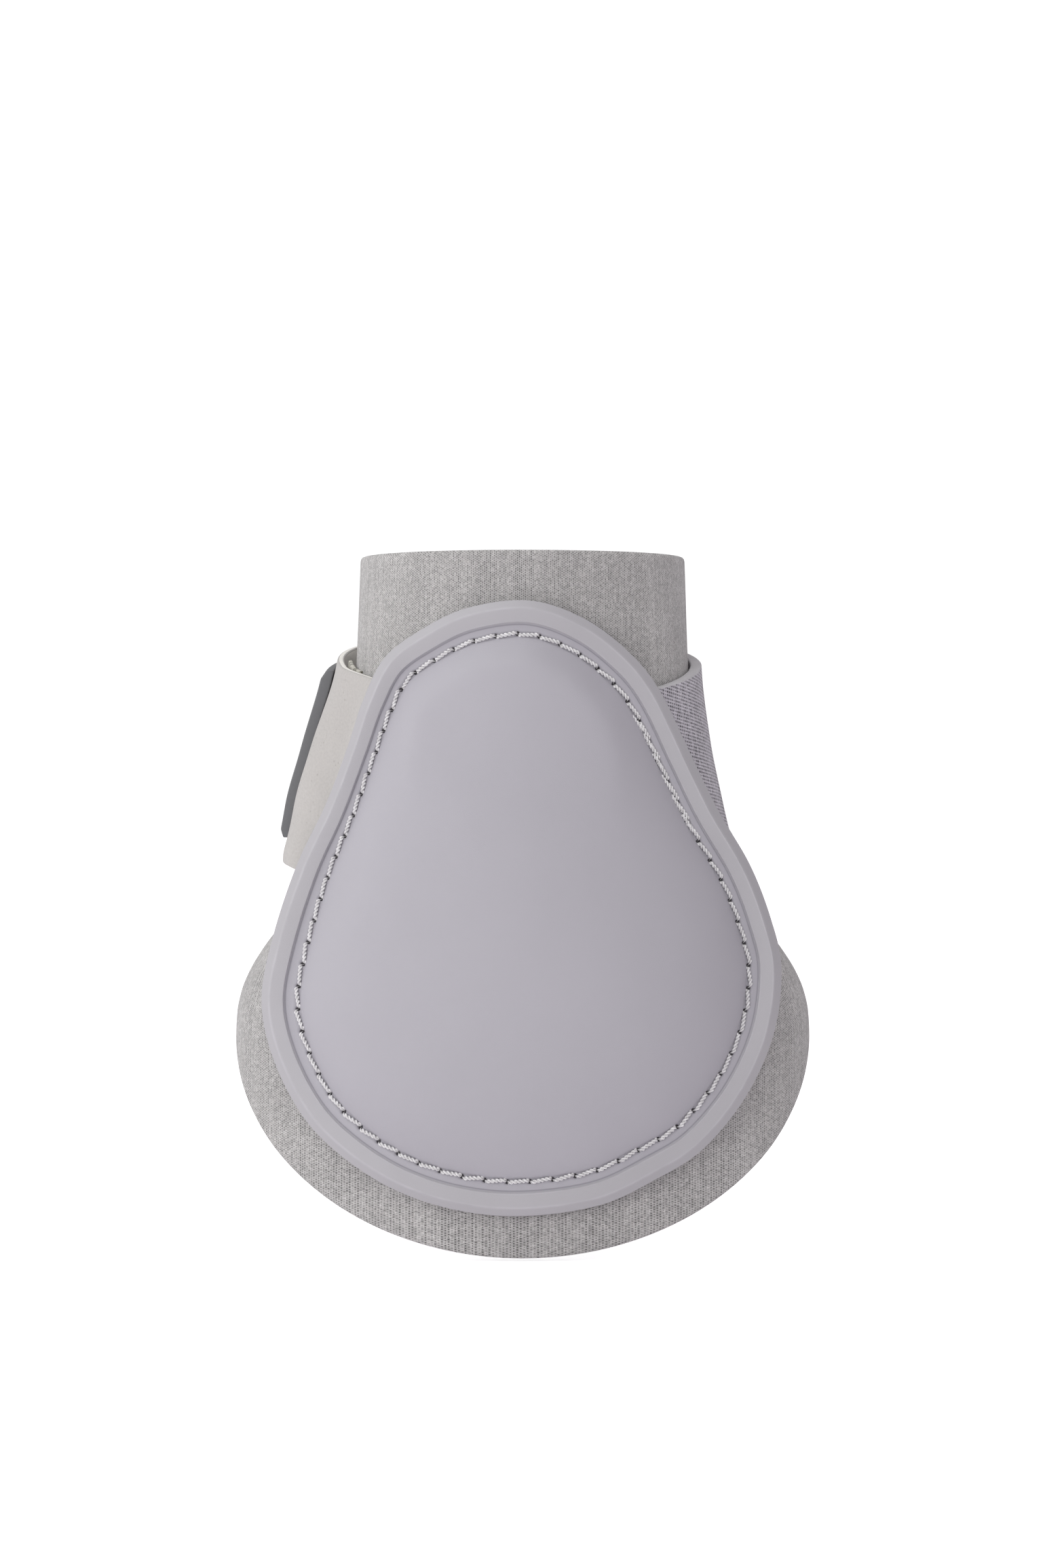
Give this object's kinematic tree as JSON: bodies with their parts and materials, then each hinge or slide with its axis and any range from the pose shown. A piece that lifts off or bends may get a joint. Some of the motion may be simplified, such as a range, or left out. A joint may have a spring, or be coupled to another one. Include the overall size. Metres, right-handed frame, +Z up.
{
  "type": "fetlock boot",
  "caption": "Pear-shaped moulded shell stitched to a flared neoprene leg wrap, closed behind by a hook-and-loop tab over an elastic strap.",
  "frame": {"origin": "on the leg's axis, level with the lowest point of the wrap's hem", "axes": "+Z up along the leg to the collar; the shell faces -Y; +X is the elastic strap's side"},
  "size_m": [0.1254, 0.1073, 0.15],
  "materials": {
    "shell_polyurethane": "satin moulded polyurethane, lilac grey",
    "neoprene_knit": "fine warp-knit face on neoprene, warm grey",
    "lining_knit": "brushed knit lining",
    "foam": "closed-cell foam",
    "elastic_webbing": "woven elastic with dark flecks, purple grey",
    "tab_fabric": "smooth pale beige-grey faced fabric",
    "hook_tape": "hook tape",
    "loop_tape": "napped loop tape",
    "badge_rubber": "plain dark grey soft rubber, no lettering"
  },
  "bodies": {
    "boot": {"outer_shell": "shell_polyurethane", "impact_pad": "foam", "liner_front": "neoprene_knit", "lining_front": "lining_knit", "elastic_root": "elastic_webbing", "tab_root": "tab_fabric", "tab_backing": "loop_tape"},
    "tab": {"closure_tab": "tab_fabric", "hook_tape": "hook_tape", "badge_plate": "badge_rubber"},
    "elastic": {"elastic_strap": "elastic_webbing", "loop_patch": "loop_tape"},
    "left_wing": {"liner_left_wing": "neoprene_knit", "lining_left_wing": "lining_knit"},
    "right_wing": {"liner_right_wing": "neoprene_knit", "lining_right_wing": "lining_knit"}
  },
  "joints": [
    {"name": "tab_peel", "type": "hinge", "parent": "boot", "child": "tab", "pos_m": [-0.04749, -0.01196, 0.10383], "axis": [0.2107, 0.121, 0.97], "range_deg": [0, 100]},
    {"name": "elastic_swing", "type": "hinge", "parent": "boot", "child": "elastic", "pos_m": [0.04348, -0.01291, 0.10384], "axis": [0.165, -0.3015, -0.9391], "range_deg": [0, 90]},
    {"name": "left_wing_open", "type": "hinge", "parent": "boot", "child": "left_wing", "pos_m": [-0.04813, 0, 0.10587], "axis": [0.2425, 0, 0.9701], "range_deg": [0, 22]},
    {"name": "right_wing_open", "type": "hinge", "parent": "boot", "child": "right_wing", "pos_m": [0.04813, 0, 0.10587], "axis": [0.2425, 0, -0.9701], "range_deg": [0, 22]}
  ],
  "couplings": [
    {"joint": "elastic_swing", "follows": "tab_peel", "ratio": 0.9},
    {"joint": "left_wing_open", "follows": "tab_peel", "ratio": 0.22},
    {"joint": "right_wing_open", "follows": "tab_peel", "ratio": 0.22}
  ]
}
